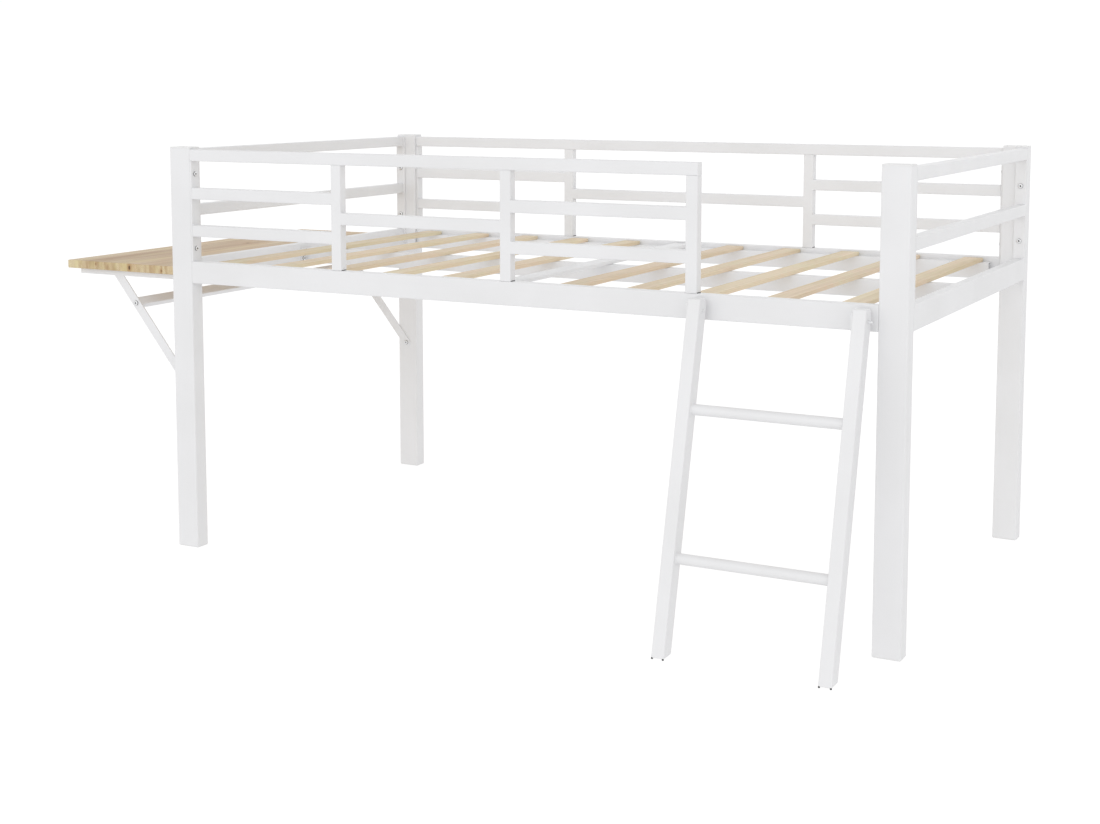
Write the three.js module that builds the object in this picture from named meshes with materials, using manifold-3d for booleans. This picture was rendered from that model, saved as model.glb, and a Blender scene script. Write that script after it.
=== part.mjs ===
// Low loft bed of white steel tube, with a pine desk board outside its left end.
// Millimetres, +Z up. Everything is drawn with x = 0 and y = 0 at the outer corner of the
// front left post and z = 0 on the floor, then the whole bed is moved so that the origin
// lies on the floor in the middle of its outline.

import * as THREE from 'three';
import { mergeVertices } from 'three/addons/utils/BufferGeometryUtils.js';
import Module from 'manifold-3d';

// Overall frame, over the posts
const bedLength = 1980;
const bedWidth = 1134;
const bedHeight = 1069;

// Posts, with a push-in cap on top and a push-in foot below
const postWide = 65;
const postDeep = 42;
const postWall = 1.5;
const postRound = 2.5;
const capHigh = 4;
const footHigh = 4;
const footBevel = 2;
const plugLong = 18;
const plugGap = 0.3;

// Rails, bars and uprights of the guards and ends
const railHigh = 30;
const tubeDeep = 25;
const uprightWide = 29;
const railWall = 1.2;
const railDrop = 6.5;
const plateWide = 30;
const plateThick = 5;

// Side and end beams, slat ledges and the beam down the middle
const beamBottom = 712;
const beamHigh = 57.5;
const beamWall = 1.5;
const ledgeHigh = 44;
const ledgeShort = 26;
const middleWide = 25;
const earWide = 21;
const earThick = 4;

// Guards: the front one stops short of the right post and leaves the way in. The bars sit a
// little below even spacing, and the back side stands in from the back posts' inner faces.
const entryWide = 417;
const frontFirstBay = 440;
const frontLastBay = 447;
const backMiddleBay = 732;
const barDrop = 2;
const backInset = 8;

// Slats across the bed, with one steel member among them. The first slat's middle is given
// from the middle of the bed, and the last one's from the end frame.
const slatsPerHalf = 5;
const slatWide = 52;
const slatThick = 10;
const slatFirst = 164;
const slatLast = 111.4;
const slatGap = 6;
const crossWide = 48;
const crossWall = 1.5;

// Ladder
const ladderInset = 12;
const ladderWide = 407;
const ladderTop = 764;
const ladderLean = 13.6;
const ladderBeamGap = 5;
const stileWide = 30;
const stileDeep = 40;
const stileRound = 16;
const stileNose = 3;
const rungRadius = 12.5;
const rungWall = 1.2;
const rungCount = 2;
const rungFirst = 208.4;
const rungRise = 316.3;
const studHigh = 2.5;
const studRadius = 2.2;
const frontStudInset = 2.2;
const rearStudInset = 9;
const shoePlug = 15;
const plugBelow = 0.5;
const tabThick = 4;
const tabMargin = 16;
const tabRound = 6;
const tabLowRound = 14;
const ladderBoltDrop = 27.5;
const ladderBoltReach = [3, 10];

// Desk board with its two welded brackets and the bar between them
const deskDeep = 386;
const deskWide = 1079;
const deskThick = 22;
const deskTop = 749;
const deskGap = 6;
const armShort = 32;
const armHigh = 14.5;
const armFlange = 30;
const armThick = 4;
const flangeThick = 3;
const braceWide = 25;
const braceFoot = 30;
const braceFootZ = 403;
const braceTop = 229;
const crossbarAlong = 307;
const crossbarHigh = 25;
const crossbarDeep = 20;
const crossbarWall = 1.5;
const crossbarPlate = 3;
const turnedGap = 0.3;

// Button-head bolts
const boltRadius = 3;
const boltGap = 0.4;
const headRadius = 6.5;
const headHigh = 3.6;
const socketAcross = 4.5;
const socketDeep = 1.9;
const boltPast = 8;
const endBoltRise = 47;
const earBoltRise = 14;
const roundSteps = 14;

// Places that follow from the sizes above
const beamTop = beamBottom + beamHigh;
const railTop = bedHeight - railDrop;
const railUnder = railTop - railHigh;
const insideLeft = postWide;
const insideRight = bedLength - postWide;
const insideFront = postDeep;
const insideBack = bedWidth - postDeep;
const backSide = insideBack + backInset;
const midEven = (beamTop + railUnder - railHigh) / 2;
const midBar = midEven - barDrop;
const pairGap = (railUnder - beamTop - 2 * railHigh) / 3;
const pairBars = [beamTop + pairGap - barDrop, beamTop + 2 * pairGap + railHigh - barDrop];
const ledgeTop = beamBottom + ledgeHigh;
const slatTop = ledgeTop + slatThick;
const slatSpan = bedLength / 2 - slatFirst - tubeDeep - slatLast;
const slatPitch = slatSpan / (slatsPerHalf - 1);
const guardEnd = insideRight - entryWide;
const bedMiddle = bedLength / 2;
const widthMiddle = bedWidth / 2;
const lean = THREE.MathUtils.degToRad(ladderLean);
const leanRise = Math.tan(lean);
const stileAcross = stileDeep / Math.cos(lean);
const ladderRight = insideRight - ladderInset;
const ladderLeft = ladderRight - ladderWide;
const deskUnder = deskTop - deskThick;
const armUnder = deskUnder - armHigh;
const deskFront = (bedWidth - deskWide) / 2;

// Looks
const whiteSteel = { color: 0xeeeeee, roughness: 0.38, metalness: 0.0 };
const whitePlastic = { color: 0xe9e9e9, roughness: 0.5, metalness: 0.0 };
const bareSteel = { color: 0xb9bbbd, roughness: 0.35, metalness: 0.9 };
const pine = { color: 0xdcc39c, roughness: 0.6, metalness: 0.0 };
const pineBoard = { color: 0xcdb089, roughness: 0.5, metalness: 0.0 };
const blackRubber = { color: 0x2b2b2d, roughness: 0.85, metalness: 0.0 };

const wasm = await Module();
wasm.setup();

const bed = new THREE.Group();
const frame = new THREE.Group();
frame.name = 'bed_frame';
bed.add(frame);

// A box from corner to corner, with its corners set exactly
function box(x0, x1, y0, y1, z0, z1) {
  const geometry = new THREE.BoxGeometry(1, 1, 1);
  const p = geometry.attributes.position;
  for (let i = 0; i < p.count; i++) {
    p.setXYZ(i, p.getX(i) < 0 ? x0 : x1, p.getY(i) < 0 ? y0 : y1, p.getZ(i) < 0 ? z0 : z1);
  }
  return geometry;
}

// A flat outline pushed from one plane to another along x, y or z.
// The outline is given as (y, z) for x, as (x, z) for y and as (x, y) for z.
function pushed(shape, axis, from, to) {
  const geometry = new THREE.ExtrudeGeometry(shape, { depth: 1, bevelEnabled: false, curveSegments: 6 });
  const p = geometry.attributes.position;
  for (let i = 0; i < p.count; i++) {
    const u = p.getX(i);
    const v = p.getY(i);
    const far = p.getZ(i) > 0.5;
    if (axis === 'x') p.setXYZ(i, far ? to : from, u, v);
    if (axis === 'y') p.setXYZ(i, u, far ? from : to, v);
    if (axis === 'z') p.setXYZ(i, u, v, far ? to : from);
  }
  return geometry;
}

// An outline through the points, each [u, v] or [u, v, corner radius]
function outline(points, steps = 4) {
  const corners = [];
  points.forEach(([u, v, radius = 0], i) => {
    const before = points[(i + points.length - 1) % points.length];
    const after = points[(i + 1) % points.length];
    corners.push(...roundedCorner(new THREE.Vector2(u, v), before, after, radius, steps));
  });
  return new THREE.Shape(corners);
}

function roundedCorner(corner, before, after, radius, steps) {
  if (radius <= 0) return [corner];
  const a = new THREE.Vector2(before[0], before[1]).sub(corner).normalize();
  const b = new THREE.Vector2(after[0], after[1]).sub(corner).normalize();
  const half = Math.acos(THREE.MathUtils.clamp(a.dot(b), -1, 1)) / 2;
  const middle = a.clone().add(b).normalize().multiplyScalar(radius / Math.sin(half)).add(corner);
  const start = a.multiplyScalar(radius / Math.tan(half)).add(corner).sub(middle);
  const end = b.multiplyScalar(radius / Math.tan(half)).add(corner).sub(middle);
  const turn = Math.atan2(start.x * end.y - start.y * end.x, start.dot(end));
  const points = [];
  for (let i = 0; i <= steps; i++) {
    const angle = (turn * i) / steps;
    points.push(start.clone().rotateAround(new THREE.Vector2(), angle).add(middle));
  }
  return points;
}

function rectangle(u0, u1, v0, v1, radius = 0) {
  return outline([[u0, v0, radius], [u1, v0, radius], [u1, v1, radius], [u0, v1, radius]], 3);
}

// A round bar along x, y or z through the given centre
function roundBar(axis, from, to, u, v, radius, sides = roundSteps) {
  const points = [];
  for (let i = 0; i < sides; i++) {
    const angle = ((i + 0.5) * 2 * Math.PI) / sides;
    points.push([u + radius * Math.cos(angle), v + radius * Math.sin(angle)]);
  }
  return pushed(outline(points), axis, from, to);
}

// Closed geometries to solids and back, so that they can be joined and cut
function solid(geometry) {
  const bare = geometry.clone();
  bare.deleteAttribute('normal');
  bare.deleteAttribute('uv');
  const merged = mergeVertices(bare, 1e-5);
  const vertProperties = new Float32Array(merged.attributes.position.array);
  const triVerts = new Uint32Array(merged.index.array);
  return new wasm.Manifold(new wasm.Mesh({ numProp: 3, vertProperties, triVerts }));
}

function joined(geometries) {
  return geometries.map(solid).reduce((whole, piece) => whole.add(piece));
}

function cutBy(whole, geometries) {
  return geometries.map(solid).reduce((rest, piece) => rest.subtract(piece), whole);
}

function geometryOf(body) {
  const mesh = body.getMesh();
  const geometry = new THREE.BufferGeometry();
  geometry.setAttribute('position', new THREE.BufferAttribute(new Float32Array(mesh.vertProperties), 3));
  geometry.setIndex(new THREE.BufferAttribute(new Uint32Array(mesh.triVerts), 1));
  return geometry;
}

function add(name, body, look) {
  const geometry = body.isBufferGeometry ? body : geometryOf(body);
  const flat = geometry.index ? geometry.toNonIndexed() : geometry;
  flat.computeVertexNormals();
  const mesh = new THREE.Mesh(flat, new THREE.MeshStandardMaterial(look));
  mesh.name = name;
  frame.add(mesh);
}

// A rectangular tube along one axis: the outside, and the inside run past both ends
// by the given lengths so that it opens into what it is welded to
function tube(axis, from, to, a0, a1, b0, b1, wall, startPast = 0, endPast = 0) {
  const corner = (s, e, c0, c1, d0, d1) => ({
    x: [s, e, c0, c1, d0, d1],
    y: [c0, c1, s, e, d0, d1],
    z: [c0, c1, d0, d1, s, e],
  })[axis];
  return {
    outside: box(...corner(from, to, a0, a1, b0, b1)),
    inside: box(...corner(from - startPast, to + endPast, a0 + wall, a1 - wall, b0 + wall, b1 - wall)),
  };
}

// Tubes welded into one piece, with any plates, drilled where bolts pass
function welded(tubes, plates, holes) {
  const outside = joined([...tubes.map((t) => t.outside), ...plates]);
  return cutBy(outside, [...tubes.map((t) => t.inside), ...holes]);
}

// A button-head bolt with a hexagon socket. The head's underside sits at `seat` on the
// axis, the head points to `side` (1 or -1) and the shank runs the other way.
function bolt(axis, seat, side, u, v, length) {
  const profile = [
    [0, -length],
    [boltRadius, -length],
    [boltRadius, 0],
    [headRadius, 0],
    [headRadius, headHigh * 0.35],
    [headRadius * 0.82, headHigh * 0.8],
    [headRadius * 0.55, headHigh],
    [0, headHigh],
  ].map(([r, h]) => new THREE.Vector2(r, h));
  const blank = solid(new THREE.LatheGeometry(profile, roundSteps));
  const keyRadius = socketAcross / Math.sqrt(3);
  const key = new THREE.CylinderGeometry(keyRadius, keyRadius, 2 * socketDeep, 6);
  key.translate(0, headHigh, 0);
  const geometry = geometryOf(cutBy(blank, [key]));
  const p = geometry.attributes.position;
  for (let i = 0; i < p.count; i++) {
    const along = seat + side * p.getY(i);
    const across = u + p.getX(i);
    if (axis === 'x') p.setXYZ(i, along, across, v - side * p.getZ(i));
    else p.setXYZ(i, across, along, v + side * p.getZ(i));
  }
  return geometry;
}

function boltHole(axis, from, to, u, v) {
  return roundBar(axis, from, to, u, v, boltRadius + boltGap);
}

// Where the bolts go
const guardBolts = [railUnder - pairGap / 2, beamTop + pairGap / 2];
const endBolts = [midEven + railHigh + endBoltRise, beamTop + endBoltRise];
const guardBoltY = plateWide / 2;
const endBoltX = [plateWide / 2, bedLength - plateWide / 2];
const earBoltY = widthMiddle - middleWide / 2 - earWide / 2;
const earBoltZ = beamBottom + earBoltRise;
const stackLong = plateThick + postWall + boltPast;

// Posts
function post(name, x0, y0, holes) {
  const x1 = x0 + postWide;
  const y1 = y0 + postDeep;
  const shape = rectangle(x0, x1, y0, y1, postRound);
  const inner = Math.max(postRound - postWall, 0.5);
  const bore = rectangle(x0 + postWall, x1 - postWall, y0 + postWall, y1 - postWall, inner);
  const bottom = footHigh;
  const top = bedHeight - capHigh;
  const outside = solid(pushed(shape, 'z', bottom, top));
  add(`post_${name}`, cutBy(outside, [pushed(bore, 'z', bottom - 1, top + 1), ...holes]), whiteSteel);

  const in0 = postWall + plugGap;
  const plug = rectangle(x0 + in0, x1 - in0, y0 + in0, y1 - in0, inner);
  const cap = joined([
    pushed(shape, 'z', top, bedHeight),
    pushed(plug, 'z', top - plugLong, top + capHigh / 2),
  ]);
  add(`cap_${name}`, cap, whitePlastic);

  const sole = rectangle(x0 + footBevel, x1 - footBevel, y0 + footBevel, y1 - footBevel, postRound / 2);
  const foot = joined([
    pushed(sole, 'z', 0, footHigh / 2),
    pushed(shape, 'z', footHigh / 2, footHigh),
    pushed(plug, 'z', footHigh / 2, footHigh + plugLong),
  ]);
  add(`foot_${name}`, foot, whitePlastic);
}

function posts() {
  const frontHoles = (x) => endBolts.map((z) => boltHole('y', postDeep / 2, insideFront + 1, x, z));
  const backMiddle = bedWidth - postDeep / 2;
  const backHoles = (x) => endBolts.map((z) => boltHole('y', insideBack - 1, backMiddle, x, z));
  const leftHoles = (y) => guardBolts.map((z) => boltHole('x', postWide / 2, insideLeft + 1, y, z));
  const rightMiddle = bedLength - postWide / 2;
  const rightHoles = (y) => guardBolts.map((z) => boltHole('x', insideRight - 1, rightMiddle, y, z));
  const braceFront = boltHole('y', postDeep / 2, insideFront + 1, braceFoot, braceFootZ);
  const braceBack = boltHole('y', insideBack - 1, backMiddle, braceFoot, braceFootZ);
  const backY = backSide + guardBoltY;
  post('front_left', 0, 0, [...frontHoles(endBoltX[0]), ...leftHoles(guardBoltY), braceFront]);
  post('front_right', insideRight, 0, frontHoles(endBoltX[1]));
  post('back_left', 0, insideBack, [...backHoles(endBoltX[0]), ...leftHoles(backY), braceBack]);
  post('back_right', insideRight, insideBack, [...backHoles(endBoltX[1]), ...rightHoles(backY)]);
}

// Ends: two rails and a deep beam between upright plates that bolt to the posts
function endFrame(name, outer, inward, extraHoles) {
  const x = [outer, outer + inward * tubeDeep].sort((a, b) => a - b);
  const px = [outer, outer + inward * plateWide].sort((a, b) => a - b);
  const run = (z0, z1, wall) => tube('y', insideFront, insideBack, x[0], x[1], z0, z1, wall, 1, 1);
  const rails = [
    run(railUnder, railTop, railWall),
    run(midBar, midBar + railHigh, railWall),
    run(beamBottom, beamTop, beamWall),
  ];
  const plates = [
    box(px[0], px[1], insideFront, insideFront + plateThick, beamBottom, railTop),
    box(px[0], px[1], insideBack - plateThick, insideBack, beamBottom, railTop),
  ];
  const boltX = (px[0] + px[1]) / 2;
  const holes = endBolts.flatMap((z) => [
    boltHole('y', insideFront - 1, insideFront + plateThick + 1, boltX, z),
    boltHole('y', insideBack - plateThick - 1, insideBack + 1, boltX, z),
  ]);
  add(`end_frame_${name}`, welded(rails, plates, [...holes, ...extraHoles]), whiteSteel);
}

function endFrames() {
  const earHole = (x) => boltHole('x', x - 2 * beamWall, x + 2 * beamWall, earBoltY, earBoltZ);
  endFrame('left', 0, 1, [earHole(tubeDeep)]);
  endFrame('right', bedLength, -1, [earHole(bedLength - tubeDeep)]);
}

// A guard's uprights, and the bars of each bay: from, to and their undersides
function guardTubes(y0, uprights, bays) {
  const y1 = y0 + tubeDeep;
  const into = 2 * railWall;
  const posts = uprights.map((x) =>
    tube('z', beamTop, railUnder, x, x + uprightWide, y0, y1, railWall, 1, into));
  const bars = bays.flatMap(([from, to, undersides]) => undersides.map((z) =>
    tube('x', from, to, y0, y1, z, z + railHigh, railWall, into, into)));
  return [...posts, ...bars];
}

// A guard's plates against the posts, and their bolt holes
function guardPlates(y0, places) {
  const y1 = y0 + plateWide;
  return {
    plates: places.map((x) => box(x, x + plateThick, y0, y1, beamTop, railUnder + 1)),
    holes: places.flatMap((x) => guardBolts.map((z) =>
      boltHole('x', x - 1, x + plateThick + 1, y0 + guardBoltY, z))),
  };
}

function frontGuard() {
  const from = insideLeft + plateThick;
  const first = from + frontFirstBay;
  const last = guardEnd - uprightWide;
  const second = last - frontLastBay - uprightWide;
  const rail = tube('x', insideLeft, guardEnd, 0, tubeDeep, railUnder, railTop, railWall, 1, -railWall);
  const bays = [
    [from, first, pairBars],
    [first + uprightWide, second, [midBar]],
    [second + uprightWide, last, pairBars],
  ];
  const { plates, holes } = guardPlates(0, [insideLeft]);
  const tubes = [rail, ...guardTubes(0, [first, second, last], bays)];
  add('guard_front', welded(tubes, plates, holes), whiteSteel);
}

function backGuard() {
  const y0 = backSide;
  const first = bedMiddle - backMiddleBay / 2 - uprightWide;
  const second = bedMiddle + backMiddleBay / 2;
  const rail = tube('x', insideLeft, insideRight, y0, y0 + tubeDeep, railUnder, railTop, railWall, 1, 1);
  const bays = [
    [insideLeft + plateThick, first, pairBars],
    [first + uprightWide, second, [midBar]],
    [second + uprightWide, insideRight - plateThick, pairBars],
  ];
  const { plates, holes } = guardPlates(y0, [insideLeft, insideRight - plateThick]);
  const tubes = [rail, ...guardTubes(y0, [first, second], bays)];
  add('guard_back', welded(tubes, plates, holes), whiteSteel);
}

// Side beams, each with its slat ledge; the front one carries the ladder's tabs
function sideBeam(name, y0, ledgeY, tabs, holes) {
  const beam = tube('x', insideLeft, insideRight, y0, y0 + tubeDeep, beamBottom, beamTop, beamWall, 1, 1);
  const from = insideLeft + ledgeShort;
  const to = insideRight - ledgeShort;
  const ledge = tube('x', from, to, ledgeY, ledgeY + tubeDeep, beamBottom, ledgeTop, beamWall, 1, 1);
  add(`beam_${name}`, welded([beam, ledge], tabs, holes), whiteSteel);
}

const stileLeft = [ladderLeft, ladderRight - stileWide];

// The ladder's front and rear faces, and its middle, at a height
const stileRear = (z) => -ladderBeamGap - (ladderTop - z) * leanRise;
const stileFront = (z) => stileRear(z) - stileAcross;
const stileMiddle = (z) => stileRear(z) - stileAcross / 2;
const ladderBoltZ = ladderTop - ladderBoltDrop;
const ladderBoltY = stileMiddle(ladderBoltZ);

function sideBeams() {
  const reach = ladderBoltY - tabMargin;
  const tabShape = outline([
    [1, beamBottom],
    [1, ledgeTop],
    [reach, ledgeTop, tabRound],
    [reach, beamBottom, tabLowRound],
  ]);
  const tabs = stileLeft.map((x) => pushed(tabShape, 'x', x - tabThick, x));
  const holes = stileLeft.map((x) => boltHole('x', x - tabThick - 1, x + 1, ladderBoltY, ladderBoltZ));
  sideBeam('front', 0, tubeDeep, tabs, holes);
  sideBeam('back', backSide, backSide - tubeDeep, [], []);
}

// The beam down the middle, with an ear at each end for its bolt
function middleBeam() {
  const y0 = widthMiddle - middleWide / 2;
  const y1 = widthMiddle + middleWide / 2;
  const from = tubeDeep;
  const to = bedLength - tubeDeep;
  const beam = tube('x', from, to, y0, y1, beamBottom, ledgeTop, beamWall, 1, 1);
  const ears = [from, to - earThick].map((x) =>
    box(x, x + earThick, y0 - earWide, y0 + 1, beamBottom, ledgeTop));
  const holes = [from, to - earThick].map((x) =>
    boltHole('x', x - 1, x + earThick + 1, earBoltY, earBoltZ));
  add('beam_middle', welded([beam], ears, holes), whiteSteel);
}

// Slats lie on the ledges and the middle beam, between the side beams
function slats() {
  const y0 = tubeDeep + slatGap;
  const y1 = backSide - slatGap;
  for (let i = 0; i < slatsPerHalf; i++) {
    const away = slatFirst + i * slatPitch;
    const left = bedMiddle - away;
    const right = bedMiddle + away;
    const half = slatWide / 2;
    add(`slat_left_${i + 1}`, box(left - half, left + half, y0, y1, ledgeTop, slatTop), pine);
    add(`slat_right_${i + 1}`, box(right - half, right + half, y0, y1, ledgeTop, slatTop), pine);
  }
  const x0 = bedMiddle - crossWide / 2;
  const member = tube('y', y0, y1, x0, x0 + crossWide, ledgeTop, slatTop, crossWall, 1, 1);
  add('cross_member', welded([member], [], []), whiteSteel);
}

// One stile's outline seen from the side, drawn in by `inset` for its inside
function stileShape(inset, bottom) {
  const across = inset / Math.cos(lean);
  const top = ladderTop - inset;
  const nose = Math.max(stileNose - inset, 0);
  const back = Math.max(stileRound - inset, 1);
  return outline([
    [stileFront(bottom) + across, bottom],
    [stileRear(bottom) - across, bottom],
    [stileRear(top) - across, top, back],
    [stileFront(top) + across, top, nose],
  ], 5);
}

function ladder() {
  const bottom = studHigh;
  const stiles = stileLeft.map((x) => pushed(stileShape(0, bottom), 'x', x, x + stileWide));
  const insides = stileLeft.map((x) =>
    pushed(stileShape(rungWall, bottom - 1), 'x', x + rungWall, x + stileWide - rungWall));
  const from = stileLeft[0] + stileWide - rungWall / 2;
  const to = stileLeft[1] + rungWall / 2;
  const rungs = [];
  const bores = [];
  for (let i = 0; i < rungCount; i++) {
    const z = rungFirst + i * rungRise;
    const y = stileMiddle(z);
    rungs.push(roundBar('x', from, to, y, z, rungRadius, 20));
    bores.push(roundBar('x', from - rungWall, to + rungWall, y, z, rungRadius - rungWall, 20));
  }
  const holes = stileLeft.map((x) => boltHole('x', x - 1, x + stileWide + 1, ladderBoltY, ladderBoltZ));
  add('ladder', cutBy(joined([...stiles, ...rungs]), [...insides, ...bores, ...holes]), whiteSteel);
  ['left', 'right'].forEach((side, i) => {
    shoe(side, stileLeft[i]);
    const length = tabThick + stileWide + ladderBoltReach[i];
    const body = bolt('x', stileLeft[i] - tabThick, -1, ladderBoltY, ladderBoltZ, length);
    add(`ladder_bolt_${side}`, body, bareSteel);
  });
}

// Rubber shoe: a plug up inside the stile, on four studs under the stile's corners
function shoe(side, x) {
  const gap = rungWall + plugGap;
  const across = gap / Math.cos(lean);
  const low = studHigh - plugBelow;
  const high = studHigh + shoePlug;
  const plug = outline([
    [stileFront(low) + across, low],
    [stileRear(low) - across, low],
    [stileRear(high) - across, high],
    [stileFront(high) + across, high],
  ]);
  const rows = [
    [stileFront(0) + frontStudInset, frontStudInset],
    [stileRear(0) - rearStudInset, rearStudInset],
  ];
  const studs = rows.flatMap(([y, inset]) => [x + inset, x + stileWide - inset].map((cx) =>
    roundBar('z', 0, studHigh, cx, y, studRadius, 12)));
  const inside = pushed(plug, 'x', x + gap, x + stileWide - gap);
  add(`ladder_shoe_${side}`, joined([inside, ...studs]), blackRubber);
}

// The braces' line: from the bolt in the post up to the middle of the arm
const braceBolt = new THREE.Vector2(braceFoot, braceFootZ);
const braceSlope = new THREE.Vector2(-braceTop, deskUnder - armHigh / 2).sub(braceBolt).normalize();
const braceSide = new THREE.Vector2(braceSlope.y, -braceSlope.x);
const crossbarAt = braceBolt.clone().addScaledVector(braceSlope, crossbarAlong);

// A flat bar with a round lower end, cut level where it meets the desk board
function braceShape() {
  const half = braceWide / 2;
  const low = braceBolt.clone().addScaledVector(braceSlope, -half);
  const points = [-half, half].map((across) => low.clone().addScaledVector(braceSide, across));
  const tops = points.map((p) => p.clone().addScaledVector(braceSlope, (deskUnder - p.y) / braceSlope.y));
  const round = half - 0.01;
  return outline([
    [points[0].x, points[0].y, round],
    [points[1].x, points[1].y, round],
    [tops[1].x, tops[1].y],
    [tops[0].x, tops[0].y],
  ], 6);
}

// The desk's bracket: a flat bar brace welded to an angle-section arm with an end plate.
// `flip` draws the same bracket against the back posts.
function deskBracket(name, flip) {
  const y = (d) => (flip ? insideBack - d : insideFront + d);
  const span = (d0, d1) => [y(d0), y(d1)].sort((a, b) => a - b);
  const end = -deskGap - deskDeep + armShort;
  const thin = span(0, armThick);
  const wide = span(0, armFlange);
  const whole = joined([
    pushed(braceShape(), 'y', ...thin),
    box(end, 0, ...thin, armUnder, deskUnder),
    box(end, 0, ...wide, deskUnder - flangeThick, deskUnder),
    box(-armThick, 0, ...wide, armUnder, deskUnder),
  ]);
  const body = cutBy(whole, [
    boltHole('y', ...span(-1, armThick + 1), braceBolt.x, braceBolt.y),
    boltHole('y', ...span(-1, armThick + 1), crossbarAt.x, crossbarAt.y),
  ]);
  add(`desk_bracket_${name}`, body, whiteSteel);
}

// The bar between the braces, a tube with a drilled plate in each end
function crossbar() {
  const section = (inset) => {
    const a = braceSlope.clone().multiplyScalar(crossbarHigh / 2 - inset);
    const b = braceSide.clone().multiplyScalar(crossbarDeep / 2 - inset);
    const at = (s, t) => [crossbarAt.x + s * a.x + t * b.x, crossbarAt.y + s * a.y + t * b.y];
    return outline([at(1, 1), at(-1, 1), at(-1, -1), at(1, -1)]);
  };
  const from = insideFront + armThick + turnedGap;
  const to = insideBack - armThick - turnedGap;
  const body = cutBy(solid(pushed(section(0), 'y', from, to)), [
    pushed(section(crossbarWall), 'y', from + crossbarPlate, to - crossbarPlate),
    boltHole('y', from - 1, from + crossbarPlate + 1, crossbarAt.x, crossbarAt.y),
    boltHole('y', to - crossbarPlate - 1, to + 1, crossbarAt.x, crossbarAt.y),
  ]);
  add('desk_crossbar', body, whiteSteel);
}

function desk() {
  const outer = -deskGap - deskDeep;
  add('desk_top', box(outer, -deskGap, deskFront, bedWidth - deskFront, deskUnder, deskTop), pineBoard);
  deskBracket('front', false);
  deskBracket('back', true);
  crossbar();
  const short = armThick + postWall + boltPast;
  const long = armThick + turnedGap + crossbarPlate + boltPast;
  const foot = [braceBolt.x, braceBolt.y, short];
  const bar = [crossbarAt.x, crossbarAt.y, long];
  add('brace_bolt_front', bolt('y', insideFront + armThick, 1, ...foot), bareSteel);
  add('brace_bolt_back', bolt('y', insideBack - armThick, -1, ...foot), bareSteel);
  add('crossbar_bolt_front', bolt('y', insideFront, -1, ...bar), bareSteel);
  add('crossbar_bolt_back', bolt('y', insideBack, 1, ...bar), bareSteel);
}

// Bolts that hold the end frames, the guards and the middle beam
function frameBolts() {
  const heights = ['high', 'low'];
  ['left', 'right'].forEach((side, s) => {
    endBolts.forEach((z, i) => {
      const front = bolt('y', insideFront + plateThick, 1, endBoltX[s], z, stackLong);
      const back = bolt('y', insideBack - plateThick, -1, endBoltX[s], z, stackLong);
      add(`end_bolt_${side}_front_${heights[i]}`, front, bareSteel);
      add(`end_bolt_${side}_back_${heights[i]}`, back, bareSteel);
    });
  });
  guardBolts.forEach((z, i) => {
    const leftSeat = insideLeft + plateThick;
    const rightSeat = insideRight - plateThick;
    const backY = backSide + guardBoltY;
    add(`guard_bolt_front_${heights[i]}`, bolt('x', leftSeat, 1, guardBoltY, z, stackLong), bareSteel);
    add(`guard_bolt_back_left_${heights[i]}`, bolt('x', leftSeat, 1, backY, z, stackLong), bareSteel);
    add(`guard_bolt_back_right_${heights[i]}`, bolt('x', rightSeat, -1, backY, z, stackLong), bareSteel);
  });
  const earLong = earThick + beamWall + boltPast;
  const left = tubeDeep + earThick;
  add('middle_bolt_left', bolt('x', left, 1, earBoltY, earBoltZ, earLong), bareSteel);
  add('middle_bolt_right', bolt('x', bedLength - left, -1, earBoltY, earBoltZ, earLong), bareSteel);
}

posts();
endFrames();
frontGuard();
backGuard();
sideBeams();
middleBeam();
slats();
ladder();
desk();
frameBolts();

// Move the bed so that the middle of its outline on the floor is the origin
const bounds = new THREE.Box3().setFromObject(frame);
frame.position.x = -(bounds.min.x + bounds.max.x) / 2;
frame.position.y = -(bounds.min.y + bounds.max.y) / 2;
frame.position.z = -bounds.min.z;
bed.updateMatrixWorld(true);

export default bed;
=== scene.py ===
"""Looks for the white steel loft bed with its pine desk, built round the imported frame.

Sizes are in millimetres, measured from the outer corner of the front left post on the
floor: x along the bed to the ladder end, y away from the ladder side, z up.
"""

import math

import bmesh
import bpy
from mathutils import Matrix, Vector


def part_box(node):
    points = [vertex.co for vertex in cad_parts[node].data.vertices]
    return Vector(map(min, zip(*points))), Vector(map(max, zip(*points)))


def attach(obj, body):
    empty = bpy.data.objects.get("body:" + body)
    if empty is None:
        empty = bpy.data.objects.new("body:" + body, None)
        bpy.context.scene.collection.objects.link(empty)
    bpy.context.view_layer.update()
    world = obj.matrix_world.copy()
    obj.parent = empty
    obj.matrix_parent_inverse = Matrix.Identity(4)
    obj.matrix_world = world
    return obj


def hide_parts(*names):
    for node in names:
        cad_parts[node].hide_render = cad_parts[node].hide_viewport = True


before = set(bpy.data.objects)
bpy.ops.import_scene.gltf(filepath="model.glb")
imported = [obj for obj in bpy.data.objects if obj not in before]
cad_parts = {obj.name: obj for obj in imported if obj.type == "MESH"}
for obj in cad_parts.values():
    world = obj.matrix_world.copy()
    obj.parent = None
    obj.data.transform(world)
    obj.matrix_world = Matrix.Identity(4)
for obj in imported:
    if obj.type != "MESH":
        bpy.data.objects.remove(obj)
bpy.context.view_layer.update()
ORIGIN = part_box("post_front_left")[0]

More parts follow.
